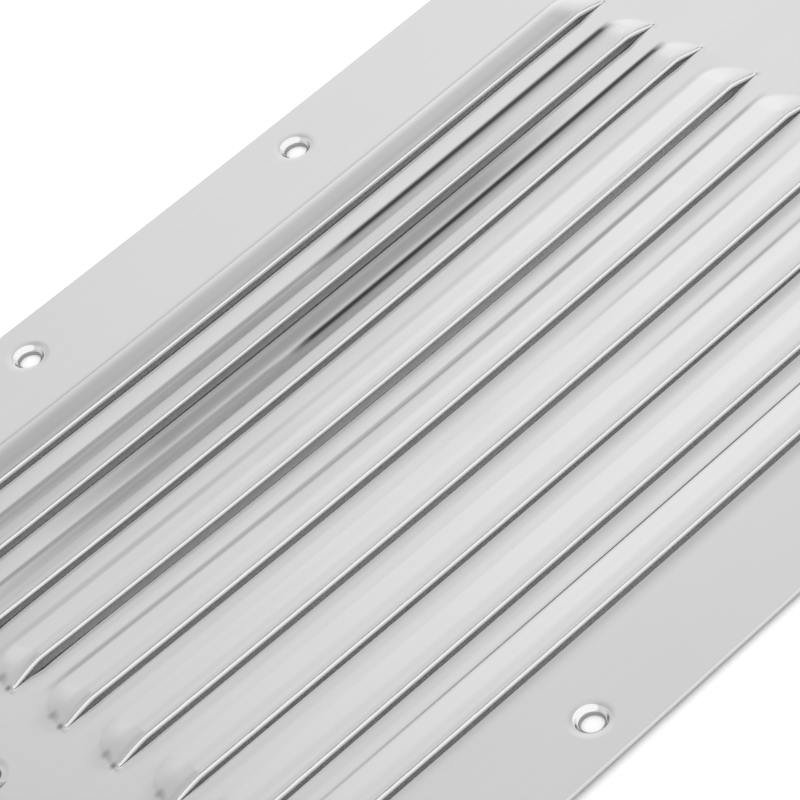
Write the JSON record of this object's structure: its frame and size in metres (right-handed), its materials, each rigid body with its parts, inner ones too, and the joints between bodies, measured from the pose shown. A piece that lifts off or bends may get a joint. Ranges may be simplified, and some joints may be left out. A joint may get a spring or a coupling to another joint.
{
  "type": "louvred vent panel",
  "caption": "Rectangular polished sheet metal panel with parallel pressed louvres that open to one side and dimpled screw holes round its edge.",
  "frame": {"origin": "middle of the panel in plan, on the plane that the ten dimples rest on", "axes": "+X along the louvres, +Y across them away from the side they open to, +Z out of the face"},
  "size_m": [0.22, 0.152, 0.0042],
  "materials": {
    "polished_steel": "polished, with faint brushing and handling marks"
  },
  "bodies": {
    "root": {"louvred_panel": "polished_steel"}
  },
  "joints": []
}
